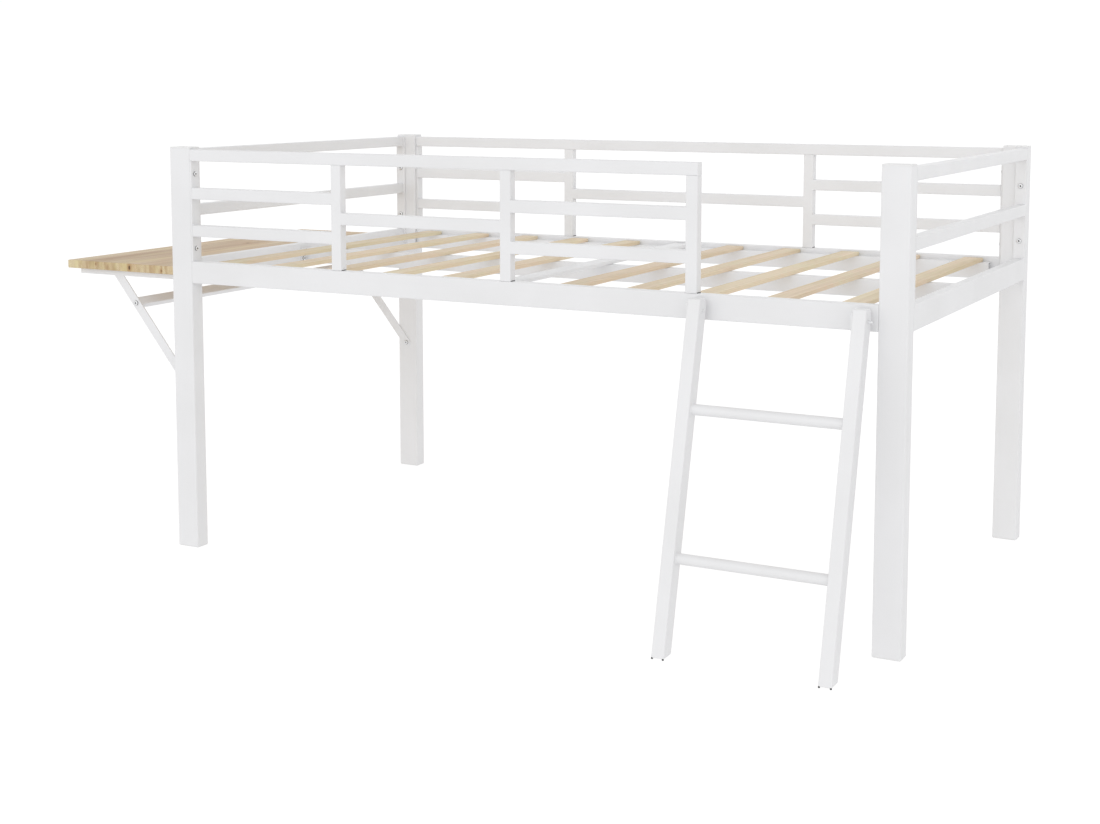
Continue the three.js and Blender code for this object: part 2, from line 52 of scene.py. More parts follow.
# Frame
LENGTH, WIDTH, HEIGHT = 1980, 1134, 1069
POST_WIDE, POST_DEEP, POST_ROUND = 65, 42, 2.5
CAP, FOOT, PLUG, PLUG_GAP = 4, 4, 18, 1.8
RAIL, DEEP, UPRIGHT = 30, 25, 29
PLATE_WIDE, PLATE, PLATE_ROUND = 30, 5, 0.9
RAIL_DROP, BAR_DROP, BACK_INSET = 6.5, 2, 8
RAIL_TOP = HEIGHT - RAIL_DROP
RAIL_UNDER = RAIL_TOP - RAIL
BEAM_UNDER, BEAM_TOP, LEDGE_TOP = 712, 769.5, 756
LEFT, RIGHT = POST_WIDE, LENGTH - POST_WIDE
FRONT, BACK = POST_DEEP, WIDTH - POST_DEEP
PAIR_GAP = (RAIL_UNDER - BEAM_TOP - 2 * RAIL) / 3
BACK_SIDE = BACK + BACK_INSET
PAIR = [BEAM_TOP + PAIR_GAP - BAR_DROP, BEAM_TOP + 2 * PAIR_GAP + RAIL - BAR_DROP]
EVEN = (BEAM_TOP + RAIL_UNDER - RAIL) / 2
MIDDLE = [EVEN - BAR_DROP]
ENTRY, FIRST_BAY, LAST_BAY, BACK_BAY_HALF = 417, 440, 447, 366
GUARD_END = RIGHT - ENTRY
TUBE_ROUND, TUBE_WALL = 2.2, 1.5
LEDGE_INSET = 26

# Eased ends at the posts, small overlaps, weld beads, and dark pads under the uprights that paint the
# shadow line at their feet
SEAM, SUNK = 0.9, 0.1
BEAD, SMALL_BEAD, FINE_BEAD = 2.6, 2.4, 2.2
PAD_HIGH, PAD_OUT, PAD_IN, PAD_LIFT = 1.8, 0.8, 2.5, 0.4
TUBE_OPEN = 60
SHARP = math.radians(38)

# Slats, middle beam and cross member
SLAT_WIDE, SLAT_THICK, SLAT_FIRST, SLAT_PITCH = 52, 10, 164, 172.4
SLAT_GAP, SLAT_ROUND, CROSS_WIDE = 6, 1.8, 48
EAR_WIDE, EAR, EAR_BOLT = 21, 4, 14
MID_Y = WIDTH / 2

# Ladder
LEAN = math.radians(13.6)
LADDER_TOP, LADDER_GAP = 764, 5
STILE_WIDE, STILE_DEEP, STILE_ROUND = 30, 40, 2.0
LADDER_WIDE, LADDER_OFF = 407, 12
STILE_LEFT = [RIGHT - LADDER_OFF - LADDER_WIDE, RIGHT - LADDER_OFF - STILE_WIDE]
STUD, STUD_RADIUS = 2.5, 2.1
RUNG = 12.5
RUNGS = [208.4, 524.7]
TAB, LADDER_BOLT_DROP = 4, 27.5
SHOE_GAP, SHOE_UP, SHOE_TOP = 1.5, 0.6, 15

# Desk
DESK_UNDER, DESK_TOP, DESK_GAP, DESK_DEEP = 727, 749, 6, 386
DESK_INSET, DESK_ROUND, STAVE_ROUND = 27.5, 1.6, 0.12
DESK_FRONT, DESK_BACK = DESK_INSET, WIDTH - DESK_INSET
ARM_SHORT, ARM_HIGH, ARM_WIDE, ARM, FLANGE = 32, 14.5, 30, 4, 3
BRACKET_ROUND, BRACE_WIDE, BRACE_SHORT = 0.7, 25, 4
BRACE_BOLT = Vector((30, 403))
BRACE_END = Vector((-229, DESK_UNDER - ARM_HIGH / 2))
SLOPE = (BRACE_END - BRACE_BOLT).normalized()
SIDE = Vector((SLOPE.y, -SLOPE.x))
CROSSBAR_AWAY, CROSSBAR_HIGH, CROSSBAR_DEEP, CROSSBAR_GAP = 307, 25, 20, 0.3
CROSSBAR = BRACE_BOLT + SLOPE * CROSSBAR_AWAY

# Bolts
END_BOLT_UP = 47
GUARD_BOLTS = [RAIL_UNDER - PAIR_GAP / 2, BEAM_TOP + PAIR_GAP / 2]
END_BOLTS = [EVEN + RAIL + END_BOLT_UP, BEAM_TOP + END_BOLT_UP]
BOLT, BOLT_PAST, THREAD_DEEP = 3, 8, 0.45
HEAD, ARM_HEAD, HEAD_HIGH = 6.5, 5.2, 3.6
# The outline of the head: height and radius as shares of HEAD_HIGH and HEAD
CROWN = [(0, 0.97), (0.12, 1), (0.4, 0.985), (0.62, 0.93), (0.82, 0.82), (0.95, 0.68), (1, 0.58)]
SOCKET, SOCKET_DEEP, SOCKET_LEAD = 4.2, 2.2, 0.25

# Light
FRONT_LIGHT, BACK_LIGHT, RIGHT_LIGHT, ALL_LIGHT = 0.78, 0.55, 0.09, 0.59
FRONT_BOX, RIGHT_BOX = 2, 3
FLOOR_BOUNCE, FLOOR_GLOW, FLOOR_SEEN, WHITE_SEEN = 0.30, 0.60, 0.80, 1.02

# Camera: the photograph's width, middle row, focal length and principal row in its pixels
PHOTO_WIDE, PHOTO_MIDDLE, FOCAL, PRINCIPAL = 1100, 412, 1703.24, 262.42
SENSOR = 36
EYE, EYE_TURN, EYE_DOWN = (2971.2, -3485.8, 1249.0), 27.87, 6.195

# Wood, with the pith line's height in metres
GOLDEN_TURN = 0.618
GOLD_STREAK = (0.60, 0.49, 0.27, 1)
KNOT_RIM, KNOT_HEART = (0.42, 0.235, 0.095, 1), (0.085, 0.042, 0.016, 1)
END_TINT, END_PALE = (1.03, 1.07, 0.99, 1), (0.80, 0.72, 0.47, 1)
PITH_HIGH = 0.70


def place(x, y, z):
    """A point in the frame's metres."""
    return Vector((x / 1000 + ORIGIN.x, y / 1000 + ORIGIN.y, z / 1000))


def along(axis, w, u, v):
    """The point at w on the axis, with the other two coordinates in x, y, z order."""
    return {"x": (w, u, v), "y": (u, w, v), "z": (u, v, w)}[axis]


def section(u0, u1, v0, v1, radius, steps=4):
    """A rectangle with round corners, as points in the plane."""
    radii = radius if isinstance(radius, (list, tuple)) else [radius] * 4
    corners = [(u0, v0, 180), (u1, v0, 270), (u1, v1, 0), (u0, v1, 90)]
    points = []
    for (u, v, start), r in zip(corners, radii):
        cu = u + r if u == u0 else u - r
        cv = v + r if v == v0 else v - r
        for i in range(steps + 1):
            angle = math.radians(start + 90 * i / steps)
            points.append((cu + r * math.cos(angle), cv + r * math.sin(angle)))
    return points


def circle(u, v, radius, sides=24):
    turn = [2 * math.pi * i / sides for i in range(sides)]
    return [(u + radius * math.cos(a), v + radius * math.sin(a)) for a in turn]


def hexagon(u, v, across, sides=24):
    """A hexagon's outline with as many points as the circle above."""
    points = []
    for i in range(sides):
        angle = 2 * math.pi * i / sides
        off = (angle % (math.pi / 3)) - math.pi / 6
        r = across / 2 / math.cos(off)
        points.append((u + r * math.cos(angle), v + r * math.sin(angle)))
    return points


class Shape:
    """A piece being built from closed solids. `wood` holds what the pine looks read from the
    points that are made next, and `paint` the number of the material of the next faces."""

    def __init__(self):
        self.bm = bmesh.new()
        self.layers = [self.bm.verts.layers.float.new(name) for name in ("tone", "blush", "light")]
        self.wood = (0.0, 0.5, 0.5)
        self.paint = 0

    def loft(self, rings):
        """A closed solid through rings with equal numbers of points."""
        loops = []
        for points in rings:
            loop = [self.bm.verts.new(place(*p)) for p in points]
            for v in loop:
                for layer, value in zip(self.layers, self.wood):
                    v[layer] = value
            loops.append(loop)
        faces = [self.bm.faces.new(loops[0]), self.bm.faces.new(loops[-1])]
        count = len(loops[0])
        for a, b in zip(loops, loops[1:]):
            for i in range(count):
                j = (i + 1) % count
                faces.append(self.bm.faces.new((a[i], a[j], b[j], b[i])))
        for face in faces:
            face.material_index = self.paint
        bmesh.ops.recalc_face_normals(self.bm, faces=faces)

    def bar(self, axis, w0, w1, u0, u1, v0, v1, radius=TUBE_ROUND, ease=0.5, steps=4):
        """A solid bar along an axis with round long edges and eased ends."""
        inner = max(radius - ease, 0.1)
        full = section(u0, u1, v0, v1, radius, steps)
        small = section(u0 + ease, u1 - ease, v0 + ease, v1 - ease, inner, steps)
        stations = [(w0, small), (w0 + ease, full), (w1 - ease, full), (w1, small)]
        self.loft([[along(axis, w, *p) for p in points] for w, points in stations])

    def tube(self, axis, w0, w1, u0, u1, v0, v1, wall):
        """A bar whose two ends are open, as deep as TUBE_OPEN."""
        full = section(u0, u1, v0, v1, TUBE_ROUND)
        bore = section(u0 + wall, u1 - wall, v0 + wall, v1 - wall, max(TUBE_ROUND - wall, 0.5))
        stations = [(w0 + TUBE_OPEN, bore), (w0, bore), (w0, full),
                    (w1, full), (w1, bore), (w1 - TUBE_OPEN, bore)]
        self.loft([[along(axis, w, *p) for p in points] for w, points in stations])

    def prism(self, points, axis, w0, w1, ease, segments=3):
        """An outline pushed along an axis, with its edges rounded."""
        part = bmesh.new()
        low = [part.verts.new(place(*along(axis, w0, *p))) for p in points]
        high = [part.verts.new(place(*along(axis, w1, *p))) for p in points]
        part.faces.new(low)
        part.faces.new(high)
        for i in range(len(points)):
            j = (i + 1) % len(points)
            part.faces.new((low[i], low[j], high[j], high[i]))
        bmesh.ops.recalc_face_normals(part, faces=part.faces)
        edges = [e for e in part.edges if e.calc_face_angle(0) > math.radians(20)]
        bmesh.ops.bevel(part, geom=edges, offset=ease / 1000, segments=segments, profile=0.5,
                        affect="EDGES", clamp_overlap=True)
        mesh = bpy.data.meshes.new("part")
        part.to_mesh(mesh)
        part.free()
        before = len(self.bm.faces)
        self.bm.from_mesh(mesh)
        bpy.data.meshes.remove(mesh)
        self.bm.faces.ensure_lookup_table()
        for face in self.bm.faces[before:]:
            face.material_index = self.paint

    def fillet(self, start, end, a, b, size):
        """A weld bead in the inner corner from start to end, between directions a and b."""
        start, end, a, b = Vector(start), Vector(end), Vector(a), Vector(b)
        count = max(6, round((end - start).length / 1.1))
        rings = []
        for i in range(count + 1):
            t = i / count
            taper = min(1, 6 * min(t, 1 - t) + 0.12)
            s = size * taper * (1 + 0.08 * math.sin(i * 1.9))
            p = start.lerp(end, t)
            ring = [p - (a + b) * 0.3]
            for k in range(5):
                angle = math.radians(22.5 * k)
                ring.append(p + a * s * (1 - 0.9 * math.sin(angle)) + b * s * (1 - 0.9 * math.cos(angle)))
            rings.append(ring)
        self.loft(rings)

    def end_weld(self, axis, w, way, box, sides):
        """Beads on the given sides of a bar's end. `way` points from the joint along the bar."""
        u0, u1, v0, v1 = box
        inset = TUBE_ROUND
        run = Vector(along(axis, way, 0, 0))
        lines = {
            "u0": ((u0, v0 + inset), (u0, v1 - inset), (-1, 0)),
            "u1": ((u1, v0 + inset), (u1, v1 - inset), (1, 0)),
            "v0": ((u0 + inset, v0), (u1 - inset, v0), (0, -1)),
            "v1": ((u0 + inset, v1), (u1 - inset, v1), (0, 1)),
        }
        for name in sides:
            p, q, out = lines[name]
            self.fillet(along(axis, w, *p), along(axis, w, *q), run, along(axis, 0, *out), BEAD)

    def round_weld(self, axis, w, way, u, v, radius):
        """A bead round a round bar's end."""
        size = SMALL_BEAD
        rings = [[along(axis, w + way * size, *p) for p in circle(u, v, radius - 0.4, 32)]]
        for k in range(5):
            angle = math.radians(22.5 * k)
            out = radius + size * (1 - 0.95 * math.cos(angle))
            height = size * (1 - math.sin(angle))
            ring = []
            for i, p in enumerate(circle(u, v, out, 32)):
                ring.append(along(axis, w + way * height * (1 + 0.06 * math.sin(i * 2.1)), *p))
            rings.append(ring)
        self.loft(rings)

    def bolt(self, axis, seat, side, u, v, length, head=HEAD, threads=0):
        """A button-head bolt with a hexagon socket, its underside on `seat`. The socket's floor
        and walls and two bands of the head's side, from 0.12 to 0.62 of its height, have the
        second material, a near-black look that paints the shade in the socket and a shadow ring round the
        head."""
        share = head / HEAD
        high = HEAD_HIGH * share
        key = SOCKET * share
        stations = [(-length, circle(u, v, BOLT * 0.7)), (-length + 0.6, circle(u, v, BOLT - 0.2))]
        for i in range(threads):
            at = -length + 0.8 + i
            stations += [(at, circle(u, v, BOLT - THREAD_DEEP)), (at + 0.5, circle(u, v, BOLT))]
        stations.append((0, circle(u, v, BOLT)))
        shade_ring = len(stations) + 1
        stations += [(high * up, circle(u, v, head * out)) for up, out in CROWN]
        floor = hexagon(u, v, key * 0.98)
        stations += [(high, circle(u, v, key * 0.66)), (high - SOCKET_LEAD, hexagon(u, v, key)),
                     (high - SOCKET_DEEP * share, floor)]
        self.loft([[along(axis, seat + side * h, *p) for p in points] for h, points in stations])
        self.bm.faces.ensure_lookup_table()
        faces, sides = self.bm.faces, len(floor)
        # The socket's floor and walls get painted shade, and the two skirt bands a painted shadow ring
        low = 2 + shade_ring * sides
        for face in [faces[1], *faces[-sides:], *faces[low:low + 2 * sides]]:
            face.material_index = 1

    def finish(self, name, look, nodes=None, more=()):
        """Makes the object, which stands for the CAD nodes. `more` holds its other looks."""
        for edge in self.bm.edges:
            edge.smooth = edge.calc_face_angle(0) < SHARP
        for face in self.bm.faces:
            face.smooth = True
        mesh = bpy.data.meshes.new(name)
        self.bm.to_mesh(mesh)
        self.bm.free()
        for material in (look, *more):
            mesh.materials.append(material)
        piece = bpy.data.objects.new(name, mesh)
        bpy.context.scene.collection.objects.link(piece)
        shade = piece.modifiers.new("shade", "WEIGHTED_NORMAL")
        shade.keep_sharp = True
        shade.weight = 100
        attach(piece, "root")
        if nodes:
            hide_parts(*nodes)
        return piece


class Nodes:
    """Shader nodes in a tree."""

    def __init__(self, tree):
        self.tree = tree

    def make(self, kind, **values):
        node = self.tree.nodes.new(kind)
        for key, value in values.items():
            setattr(node, key, value)
        return node

    def link(self, source, target):
        self.tree.links.new(source, target)

    def feed(self, socket, value):
        if hasattr(value, "links"):
            self.link(value, socket)
        else:
            socket.default_value = value

    def math(self, operation, a, b=0.0, c=0.0, clamp=False):
        node = self.make("ShaderNodeMath", operation=operation, use_clamp=clamp)
        for socket, value in zip(node.inputs, (a, b, c)):
            self.feed(socket, value)
        return node.outputs[0]

    def vector(self, operation, a, b, output=0):
        node = self.make("ShaderNodeVectorMath", operation=operation)
        self.feed(node.inputs[0], a)
        self.feed(node.inputs[1], b)
        return node.outputs[output]

    def noise(self, scale, vector=None, detail=2.0, rough=0.5, w=None):
        node = self.make("ShaderNodeTexNoise", noise_dimensions="3D" if w is None else "4D")
        self.feed(node.inputs["Vector"], self.where if vector is None else vector)
        node.inputs["Scale"].default_value = scale
        node.inputs["Detail"].default_value = detail
        node.inputs["Roughness"].default_value = rough
        if w is not None:
            self.feed(node.inputs["W"], w)
        return node.outputs[0]

    def spread(self, value, low, high, to_low=0.0, to_high=1.0, smooth=False):
        node = self.make("ShaderNodeMapRange")
        if smooth:
            node.interpolation_type = "SMOOTHSTEP"
        self.feed(node.inputs["Value"], value)
        numbers = {"From Min": low, "From Max": high, "To Min": to_low, "To Max": to_high}
        for key, number in numbers.items():
            node.inputs[key].default_value = number
        return node.outputs[0]

    def mix(self, share, a, b, blend="MIX"):
        node = self.make("ShaderNodeMix", data_type="RGBA", blend_type=blend)
        self.feed(node.inputs[0], share)
        self.feed(node.inputs[6], a)
        self.feed(node.inputs[7], b)
        return node.outputs[2]

    def bump(self, height, strength, distance, onto=None):
        node = self.make("ShaderNodeBump")
        node.inputs["Strength"].default_value = strength
        node.inputs["Distance"].default_value = distance
        self.link(height, node.inputs["Height"])
        if onto is not None:
            self.link(onto, node.inputs["Normal"])
        return node.outputs[0]


class Look(Nodes):
    """A material with its nodes."""

    def __init__(self, name):
        self.material = bpy.data.materials.new(name)
        self.material.use_nodes = True
        super().__init__(self.material.node_tree)
        self.shader = self.tree.nodes["Principled BSDF"]
        self.where = self.make("ShaderNodeTexCoord").outputs["Object"]

    def set(self, **values):
        names = {"color": "Base Color", "rough": "Roughness", "metal": "Metallic", "normal": "Normal",
                 "specular": "Specular IOR Level"}
        for key, value in values.items():
            self.feed(self.shader.inputs[names[key]], value)
        return self.material


def gray(level, tint=0.0):
    return (level, level, level * (1 + tint), 1)


def powder_coat():
    """Satin white powder coat: a fine orange peel and a faint change of gloss."""
    n = Look("white_powder_coat")
    cloudy = n.noise(5.0, detail=3)
    color = n.mix(n.spread(cloudy, 0.35, 0.65), gray(0.79, 0.01), gray(0.82, 0.014))
    specks = n.spread(n.noise(1500, detail=1), 0.70, 0.76)
    color = n.mix(n.math("MULTIPLY", specks, 0.05), color, gray(0.7))
    peel = n.noise(420, detail=2, rough=0.6)
    wide = n.noise(60, detail=1)
    normal = n.bump(peel, 0.06, 0.0003, n.bump(wide, 0.02, 0.001))
    return n.set(color=color, rough=n.spread(n.noise(28, detail=3), 0.3, 0.7, 0.30, 0.40), normal=normal)


def moulded(name, level, rough):
    """Moulded plastic with a fine spark-eroded grain."""
    n = Look(name)
    color = n.mix(n.noise(40, detail=2), gray(level * 0.96), gray(level))
    grain = n.bump(n.noise(1800, detail=2), 0.18, 0.0002)
    gloss = n.spread(n.noise(90), 0.3, 0.7, rough - 0.05, rough + 0.05)
    return n.set(color=color, rough=gloss, normal=grain)


def zinc():
    """Bright zinc plating with turned marks and small stains."""
    n = Look("bright_zinc")
    cloudy = n.noise(260, detail=4, rough=0.65)
    color = n.mix(n.spread(cloudy, 0.35, 0.7), (0.80, 0.81, 0.83, 1), (0.93, 0.93, 0.92, 1))
    marks = n.bump(n.noise(2600, detail=2), 0.25, 0.0001)
    return n.set(color=color, rough=n.spread(cloudy, 0.3, 0.7, 0.24, 0.40), metal=1.0, normal=marks)


def pine(name, pale, red, dark, ring=0.0042, contrast=1.0, knots=()):
    """Pine sawn along y. Rings run round a pith line below the board. On each board or stave
    `tone` moves the pith, `blush` goes from straw to pink and `light` from dark to pale."""
    n = Look(name)
    tone, blush, light = (n.make("ShaderNodeAttribute", attribute_name=key).outputs["Fac"]
                          for key in ("tone", "blush", "light"))
    where = n.vector("MULTIPLY", n.where, (1, 0.045, 1))
    drift = n.noise(9, where, detail=2, w=tone)
    late, rings = growth(n, where, tone, drift, ring, knots)
    fibre = n.noise(900, n.vector("MULTIPLY", n.where, (1, 0.012, 1)), detail=3, rough=0.6)
    pores = n.noise(300, n.vector("MULTIPLY", n.where, (1, 0.02, 1)), detail=2, w=tone)
    streaks = n.noise(62, n.vector("MULTIPLY", n.where, (1, 0.02, 0.3)), detail=3, w=tone)
    patches = n.noise(15, n.vector("MULTIPLY", n.where, (1.6, 0.5, 1)), detail=2, w=tone)
    hue = n.math("ADD", blush, n.spread(patches, 0.3, 0.7, -0.6, 0.6))
    color = n.mix(n.math("ADD", hue, 0, clamp=True), pale, red)
    color = n.mix(n.math("MULTIPLY", rings, 0.62 * contrast, clamp=True), color, dark)
    color = n.mix(n.spread(fibre, 0.35, 0.75, 0, 0.22 * contrast), color, dark)
    color = n.mix(n.spread(pores, 0.62, 0.75, 0, 0.20), color, dark)
    color = n.mix(n.spread(streaks, 0.50, 0.70, 0, 0.5 * contrast), color, dark)
    golden = n.noise(26, n.vector("MULTIPLY", n.where, (1, 0.13, 0.5)), detail=3, w=tone)
    color = n.mix(n.spread(golden, 0.50, 0.66, 0, 0.45 * contrast), color, GOLD_STREAK)
    shade = n.spread(light, 0, 1, 0.90, 1.08)
    gain = n.make("ShaderNodeCombineXYZ")
    for socket in gain.inputs:
        n.link(shade, socket)
    color = n.mix(1.0, color, gain.outputs[0], "MULTIPLY")
    color = end_grain(n, color, dark, tone)
    for spot, reach in knots:
        color = knotted(n, color, spot, reach)
    height = n.math("ADD", n.math("MULTIPLY", late, 0.6), n.math("MULTIPLY", fibre, 0.6))
    rough = n.spread(n.math("ADD", n.math("MULTIPLY", late, -0.12), fibre), 0.2, 0.8, 0.46, 0.60)
    return n.set(color=color, rough=rough, normal=n.bump(height, 0.22, 0.0003))


def growth(n, where, tone, drift, ring, knots):
    """The late wood of the yearly rings, which bend round the knots: plain, and softened where
    a ring ends. The first raises the grain, the second colours it."""
    sway = n.noise(34, where, detail=3, w=tone)
    split = n.make("ShaderNodeSeparateXYZ")
    n.link(n.where, split.inputs[0])
    slow = n.noise(0.7, where, detail=0, w=n.math("MULTIPLY", tone, 7.3))
    lift = n.spread(slow, 0.2, 0.8, -0.03, 0.03)
    shift = n.math("MULTIPLY", n.math("SINE", n.math("MULTIPLY", tone, 91)), 0.035)
    across = n.math("WRAP", n.math("ADD", n.math("ADD", split.outputs[0], shift), lift), 0.04, -0.04)
    joined = n.make("ShaderNodeCombineXYZ")
    n.link(across, joined.inputs[0])
    n.link(n.math("SUBTRACT", split.outputs[2], PITH_HIGH), joined.inputs[2])
    radius = n.vector("LENGTH", joined.outputs[0], (0, 0, 0), 1)
    radius = n.math("ADD", radius, n.math("MULTIPLY", drift, 0.020))
    radius = n.math("ADD", radius, n.math("MULTIPLY", sway, 0.0028))
    for spot, reach in knots:
        radius = n.math("ADD", radius, n.spread(away(n, spot), 0, reach * 3, 0.006, 0, smooth=True))
    phase = n.math("FRACT", n.math("DIVIDE", radius, ring))
    late = n.math("POWER", phase, 3.2)
    return late, n.math("MULTIPLY", late, n.spread(phase, 0.9, 1.0, 1.0, 0.0))


def away(n, spot):
    """Distance from a knot's heart. A knot is longer along the board and up through it."""
    offset = n.vector("SUBTRACT", n.where, spot)
    return n.vector("LENGTH", n.vector("MULTIPLY", offset, (1, 0.6, 0.55)), (0, 0, 0), 1)


def knotted(n, color, spot, reach):
    """A dark brown heart with an orange rim."""
    far = n.math("ADD", away(n, spot), n.math("MULTIPLY", n.noise(420, detail=2), reach * 0.7))
    rim = n.spread(far, reach * 1.2, reach * 3.6, 0.75, 0.0, smooth=True)
    heart = n.spread(far, reach * 0.9, reach * 1.45, 0.95, 0.0, smooth=True)
    return n.mix(heart, n.mix(rim, color, KNOT_RIM), KNOT_HEART)


def end_grain(n, color, dark, tone):
    """The sawn ends are yellower and show upright bands where the rings are cut across."""
    split = n.make("ShaderNodeSeparateXYZ")
    n.link(n.make("ShaderNodeNewGeometry").outputs["Normal"], split.inputs[0])
    ends = n.spread(n.math("ABSOLUTE", split.outputs[1]), 0.5, 0.8)
    bands = n.noise(95, n.vector("MULTIPLY", n.where, (1, 1, 0.16)), detail=3, rough=0.6, w=tone)
    cut = n.mix(1.0, color, END_TINT, "MULTIPLY")
    cut = n.mix(n.spread(bands, 0.5, 0.72, 0, 0.55), cut, dark)
    cut = n.mix(n.spread(bands, 0.28, 0.46, 0.35, 0), cut, END_PALE)
    return n.mix(ends, color, cut)


WHITE = powder_coat()
PLASTIC = moulded("white_plastic_look", 0.84, 0.5)
# Dark plastic for the pads under the guards' uprights, which paint the shadow line at their feet
SHADOW_PAD_LOOK = moulded("painted_shadow_pad_look", 0.05, 0.55)
RUBBER = moulded("black_rubber_look", 0.028, 0.8)
ZINC = zinc()
# Near-black look for painted shade: the bolts' socket recesses and a shadow ring round each head's skirt
BOLT_SHADE_LOOK = moulded("painted_bolt_shade_look", 0.05, 0.5)
SLAT_LOOK = pine("slat_pine_look", pale=(0.785, 0.70, 0.49, 1), red=(0.81, 0.655, 0.485, 1),
                 dark=(0.56, 0.40, 0.23, 1), contrast=0.75)


def knot(x, y, z, reach):
    """Its heart and how far it reaches, in metres."""
    return place(x, y, z), reach / 1000


# Three knots in the board's front edge and three in its top
DESK_KNOTS = [knot(-173, 26, 738, 4.0), knot(-62, 26, 735, 1.9), knot(-292, 27, 742, 1.4),
              knot(-250, 640, DESK_TOP, 4.5), knot(-90, 905, DESK_TOP, 3.4),
              knot(-331, 392, DESK_TOP, 3.0)]
BOARD_LOOK = pine("desk_pine_look", pale=(0.68, 0.575, 0.405, 1), red=(0.645, 0.475, 0.315, 1),
                  dark=(0.37, 0.22, 0.11, 1), ring=0.0036, contrast=1.45, knots=DESK_KNOTS)


def posts():
    for side, x0 in (("left", 0), ("right", RIGHT)):
        for end, y0 in (("front", 0), ("back", BACK)):
            name = f"{end}_{side}"
            x1, y1 = x0 + POST_WIDE, y0 + POST_DEEP
            shape = Shape()
            shape.bar("z", FOOT, HEIGHT - CAP, x0, x1, y0, y1, POST_ROUND, ease=0.25, steps=7)
            shape.finish(f"steel_post_{name}", WHITE, [f"post_{name}"])
            post_ends(name, x0, x1, y0, y1)


def post_ends(name, x0, x1, y0, y1):
    """The cap and the foot, each with its plug inside the post, as outlines set in by steps."""

    def rings(stations):
        made = []
        for z, inset in stations:
            r = max(POST_ROUND - inset, 0.6)
            outline = section(x0 + inset, x1 - inset, y0 + inset, y1 - inset, r, 7)
            made.append([along("z", z, *p) for p in outline])
        return made

    top = HEIGHT - CAP
    cap = Shape()
    cap.loft(rings([(top - PLUG, PLUG_GAP), (top, PLUG_GAP), (top, 0.5), (top + 0.5, 0.5),
                    (top + 0.5, 0), (HEIGHT - 1.8, 0), (HEIGHT - 1.1, 0.15), (HEIGHT - 0.5, 0.6),
                    (HEIGHT - 0.12, 1.3), (HEIGHT, 2.2), (HEIGHT, 8)]))
    cap.finish(f"plastic_cap_{name}", PLASTIC, [f"cap_{name}"])
    foot = Shape()
    foot.loft(rings([(0, 2.6), (0.35, 2.1), (2.0, 0.4), (2.4, 0), (FOOT - 0.35, 0),
                     (FOOT - 0.35, 0.25), (FOOT, 0.25), (FOOT, PLUG_GAP), (FOOT + PLUG, PLUG_GAP)]))
    foot.finish(f"plastic_foot_{name}", PLASTIC, [f"foot_{name}"])


def end_frames():
    for side, outer, way in (("left", 0, 1), ("right", LENGTH, -1)):
        x0, x1 = sorted((outer, outer + way * DEEP))
        p0, p1 = sorted((outer, outer + way * PLATE_WIDE))
        inner = "u1" if way > 0 else "u0"
        shape = Shape()
        for y in (FRONT, BACK - PLATE):
            shape.bar("z", BEAM_UNDER, RAIL_TOP, p0, p1, y, y + PLATE, PLATE_ROUND, 0.6)
        runs = [(RAIL_UNDER, RAIL_TOP), (MIDDLE[0], MIDDLE[0] + RAIL), (BEAM_UNDER, BEAM_TOP)]
        for z0, z1 in runs:
            y0, y1 = FRONT + PLATE, BACK - PLATE
            shape.bar("y", y0, y1, x0, x1, z0, z1, ease=0.1)
            sides = [inner]
            if z0 > BEAM_UNDER:
                sides.append("v0")
            if z1 < RAIL_TOP:
                sides.append("v1")
            shape.end_weld("y", y0, 1, (x0, x1, z0, z1), sides)
            shape.end_weld("y", y1, -1, (x0, x1, z0, z1), sides)
        shape.finish(f"steel_end_{side}", WHITE, [f"end_frame_{side}"])


def guard(shape, y0, rail, uprights, bays, plates):
    """A guard's rail, uprights, bars and plates with their beads, and dark pads under the uprights that
    paint the shadow line at their feet. A bar runs into the upright as far as the upright's edge is
    round."""
    y1 = y0 + DEEP
    shape.bar("x", *rail, y0, y1, RAIL_UNDER, RAIL_TOP, ease=SEAM)
    for x in plates:
        shape.bar("z", BEAM_TOP, RAIL_UNDER, x, x + PLATE, y0, y0 + PLATE_WIDE, PLATE_ROUND)
    for x in uprights:
        x1 = x + UPRIGHT
        shape.bar("z", BEAM_TOP + PAD_LIFT, RAIL_UNDER + SUNK, x, x1, y0, y1)
        # The dark pad paints the shadow line where the upright stands on the beam
        shape.paint = 1
        shape.bar("z", BEAM_TOP, BEAM_TOP + PAD_HIGH, x - PAD_OUT, x1 + PAD_OUT,
                  y0 + PAD_IN, y1 - PAD_IN, 1.0, 0.2)
        shape.paint = 0
        sides = ["u0"] + (["u1"] if x1 < rail[1] - 1 else [])
        shape.end_weld("z", RAIL_UNDER, -1, (x, x1, y0, y1), sides)
    for x0, x1, heights in bays:
        for z in heights:
            start = x0 if x0 == LEFT + PLATE else x0 - TUBE_ROUND
            end = x1 if x1 == RIGHT - PLATE else x1 + TUBE_ROUND
            at_plate = start == x0 or end == x1
            shape.bar("x", start, end, y0, y1, z, z + RAIL, ease=SEAM if at_plate else 0.05)
            box = (y0, y1, z, z + RAIL)
            shape.end_weld("x", x0, 1, box, ["v0", "v1"])
            shape.end_weld("x", x1, -1, box, ["v0", "v1"])


